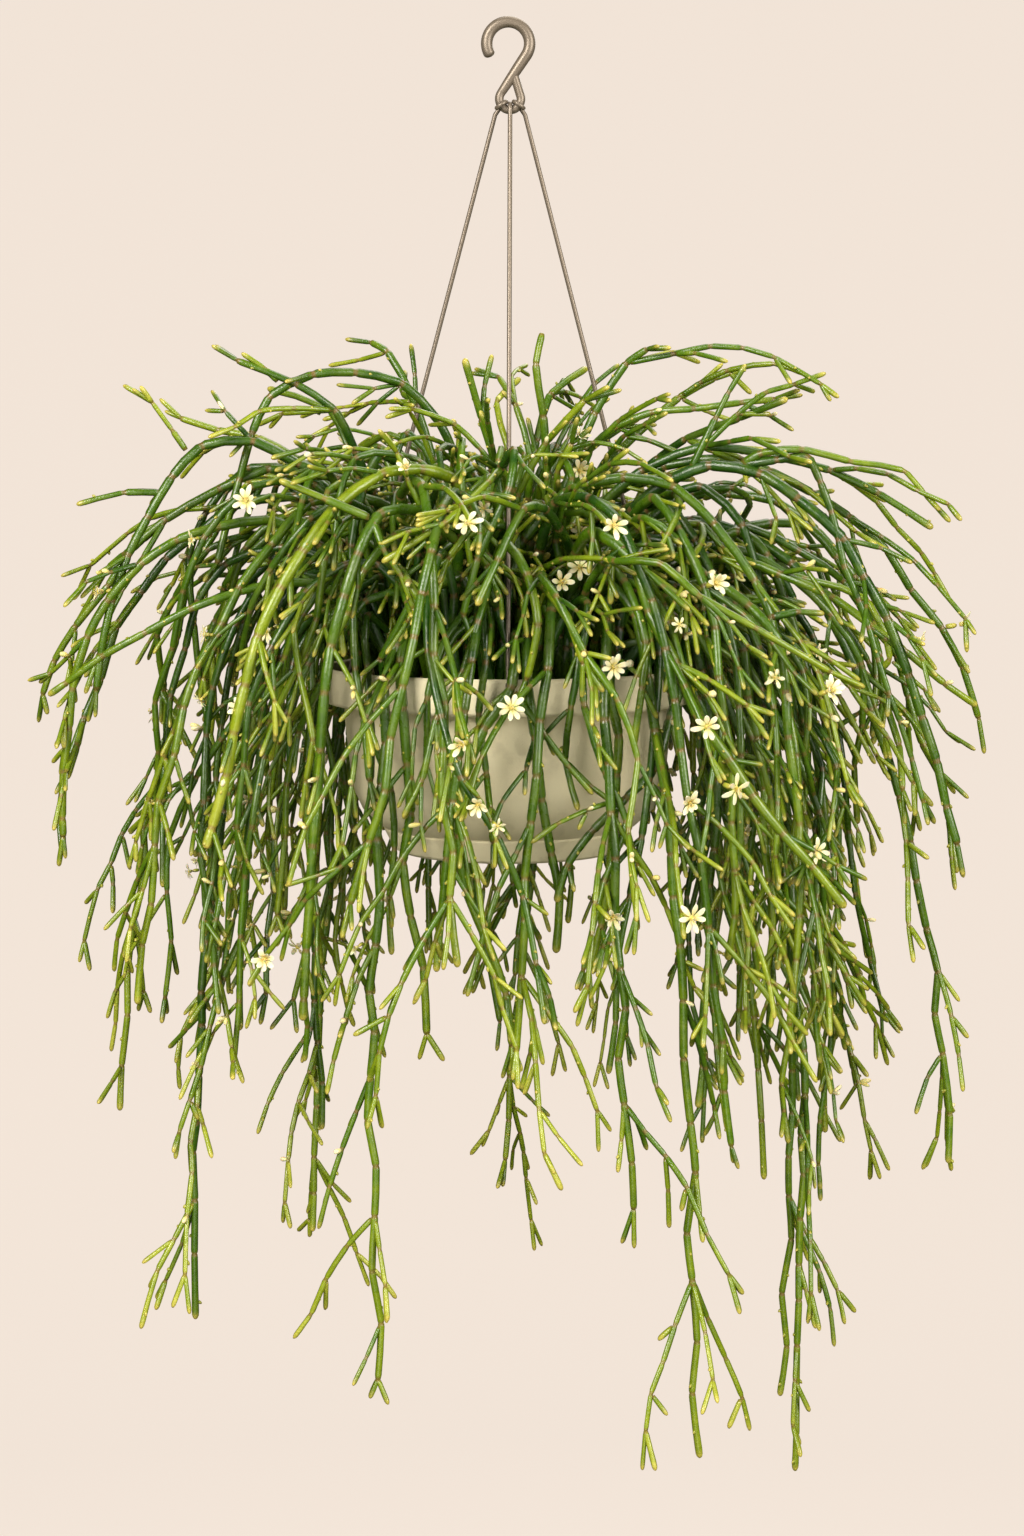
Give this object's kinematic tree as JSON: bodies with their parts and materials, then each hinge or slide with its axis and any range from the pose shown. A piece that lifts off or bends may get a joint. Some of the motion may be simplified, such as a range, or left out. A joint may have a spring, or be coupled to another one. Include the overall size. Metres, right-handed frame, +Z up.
{
  "type": "mistletoe cactus",
  "caption": "Trailing jointed leafless cactus with small star blooms, rooted in a plain collared bowl that hangs by wires from a hook",
  "frame": {"origin": "the inside of the hook's bend, where it bears on what carries it, on the bowl's axis", "axes": "+Z up along the bowl's axis, -Y the front of the plant, +X to the right of someone facing the front"},
  "size_m": [0.4941, 0.4136, 0.773],
  "materials": {
    "hanger_steel": "satin, warm grey",
    "bowl_plastic": "matte putty, faintly clouded",
    "soil_mix": "dark damp bark and peat crumbs",
    "stem_skin": "smooth waxy green skin, yellower to the tips, brown at the joints",
    "petal": "cream, satin"
  },
  "bodies": {
    "root": {"hook": "hanger_steel", "wire_front": "hanger_steel", "wire_right": "hanger_steel", "wire_left": "hanger_steel", "bowl": "bowl_plastic", "soil": "soil_mix", "stems_1": "stem_skin", "stems_2": "stem_skin", "stems_3": "stem_skin", "stems_4": "stem_skin", "stems_5": "stem_skin", "stems_6": "stem_skin", "stems_7": "stem_skin", "stems_8": "stem_skin", "stems_9": "stem_skin", "stems_10": "stem_skin", "stems_11": "stem_skin", "stems_12": "stem_skin", "stems_13": "stem_skin", "stems_14": "stem_skin", "stems_15": "stem_skin", "stems_16": "stem_skin", "stems_17": "stem_skin", "stems_18": "stem_skin", "stems_19": "stem_skin", "stems_20": "stem_skin", "stems_21": "stem_skin", "stems_22": "stem_skin", "stems_23": "stem_skin", "stems_24": "stem_skin", "bloom_1": "petal", "bloom_2": "petal", "bloom_3": "petal", "bloom_4": "petal", "bloom_5": "petal", "bloom_6": "petal", "bloom_7": "petal", "bloom_8": "petal", "bloom_9": "petal", "bloom_10": "petal", "bloom_11": "petal", "bloom_12": "petal", "bloom_13": "petal", "bloom_14": "petal", "bloom_15": "petal", "bloom_16": "petal", "bloom_17": "petal", "bloom_18": "petal", "bloom_19": "petal", "bloom_20": "petal", "bloom_21": "petal", "bloom_22": "petal", "bloom_23": "petal", "bloom_24": "petal", "bloom_25": "petal", "bloom_26": "petal", "bloom_27": "petal", "bloom_28": "petal"}
  },
  "joints": []
}
